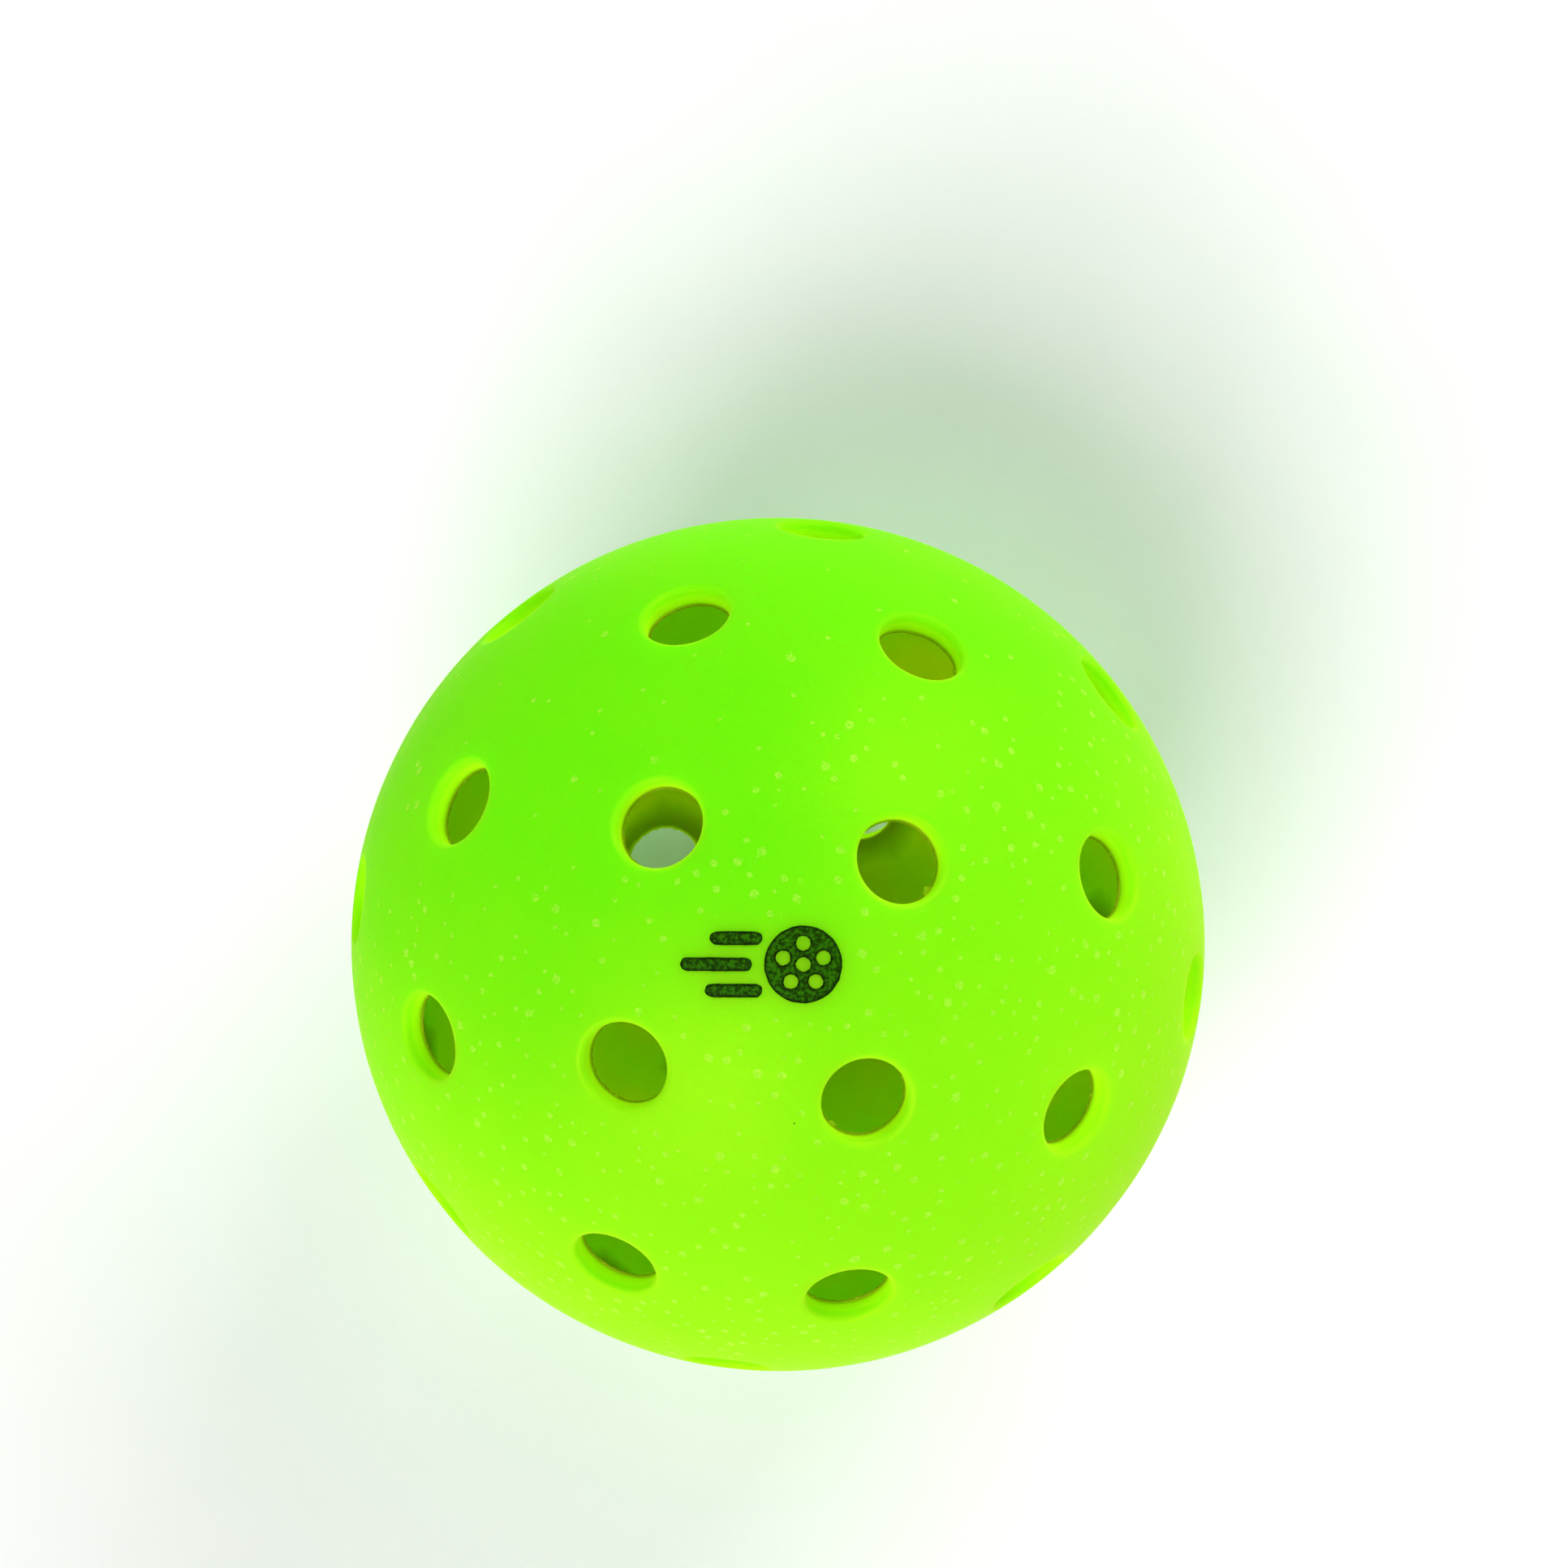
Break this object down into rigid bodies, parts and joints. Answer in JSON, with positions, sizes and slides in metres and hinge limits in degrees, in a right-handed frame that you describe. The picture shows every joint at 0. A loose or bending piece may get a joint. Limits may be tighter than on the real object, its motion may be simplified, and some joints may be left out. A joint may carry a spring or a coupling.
{
  "type": "pickleball",
  "caption": "Hollow perforated plastic court ball: two round-holed half shells lapped and welded at the equator, with a small printed mark on the upper pole.",
  "frame": {"origin": "the ball's centre", "axes": "+Z along the pole axis, from the plain lower half to the upper half, which carries the printed mark; +X along the mark, from its bars to its ball, and +Y across them"},
  "size_m": [0.074, 0.074, 0.0745],
  "materials": {
    "shell": "satin moulded polyethylene, fluorescent yellow-green, slightly see-through where light passes the edge of a hole",
    "ink": "thin dark green printing ink, a little uneven"
  },
  "bodies": {
    "root": {"upper_half": "shell", "lower_half": "shell", "mark_ball": "ink", "mark_bar_upper": "ink", "mark_bar_middle": "ink", "mark_bar_lower": "ink"}
  },
  "joints": []
}
